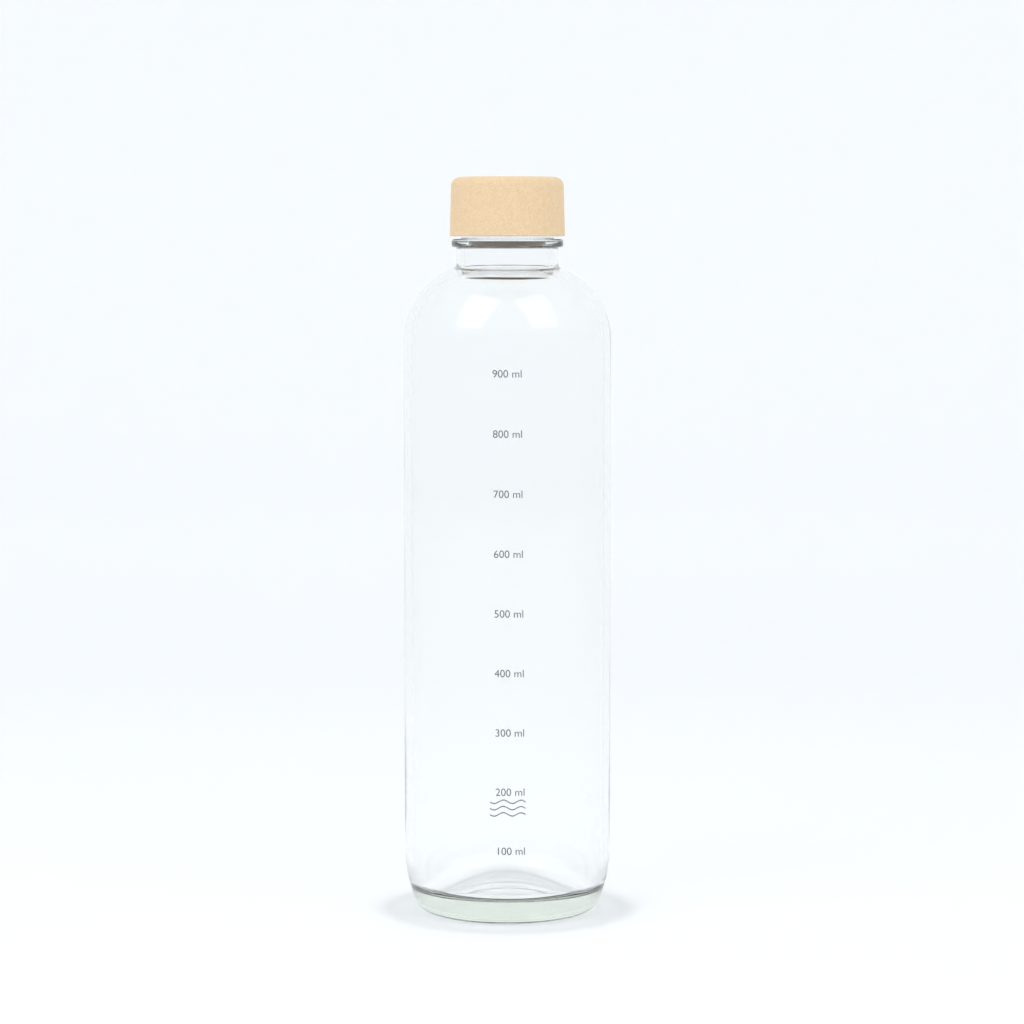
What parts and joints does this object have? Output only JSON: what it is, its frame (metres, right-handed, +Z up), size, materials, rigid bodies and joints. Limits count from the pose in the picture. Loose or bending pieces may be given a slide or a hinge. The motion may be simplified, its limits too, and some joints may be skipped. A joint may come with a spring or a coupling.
{
  "type": "glass water bottle",
  "caption": "Straight-sided clear glass water bottle with a rounded shoulder, short neck, volume scale on the front and a screw cap over a threaded finish.",
  "frame": {"origin": "centre of the plane that the base ring stands on", "axes": "+Z up along the bottle's axis, -Y towards the printed scale, +X to the right of the scale as it is read"},
  "size_m": [0.081, 0.081, 0.2879],
  "materials": {
    "bottle_glass": "clear soda-lime glass, fire polished, faint green in thick sections",
    "wood_composite": "matt beige moulded wood-fibre composite with fine speckle",
    "insert_plastic": "matt brown polypropylene",
    "gasket_rubber": "satin translucent white silicone",
    "scale_ink": "fired grey ceramic ink"
  },
  "bodies": {
    "bottle": {"glass_bottle": "bottle_glass"},
    "seal": {"sealing_gasket": "gasket_rubber"},
    "cap": {"cap_shell": "wood_composite", "cap_insert": "insert_plastic"}
  },
  "joints": [
    {"name": "cap_lift", "type": "slide", "parent": "bottle", "child": "seal", "axis": [0, 0, 1], "range_m": [0, 0.02]},
    {"name": "cap_turn", "type": "hinge", "parent": "seal", "child": "cap", "pos_m": [0, 0, 0.275], "axis": [0, 0, 1], "range_deg": [0, 600]}
  ],
  "couplings": [
    {"joint": "cap_lift", "follows": "cap_turn", "m_per_rad": 0.0019099}
  ]
}
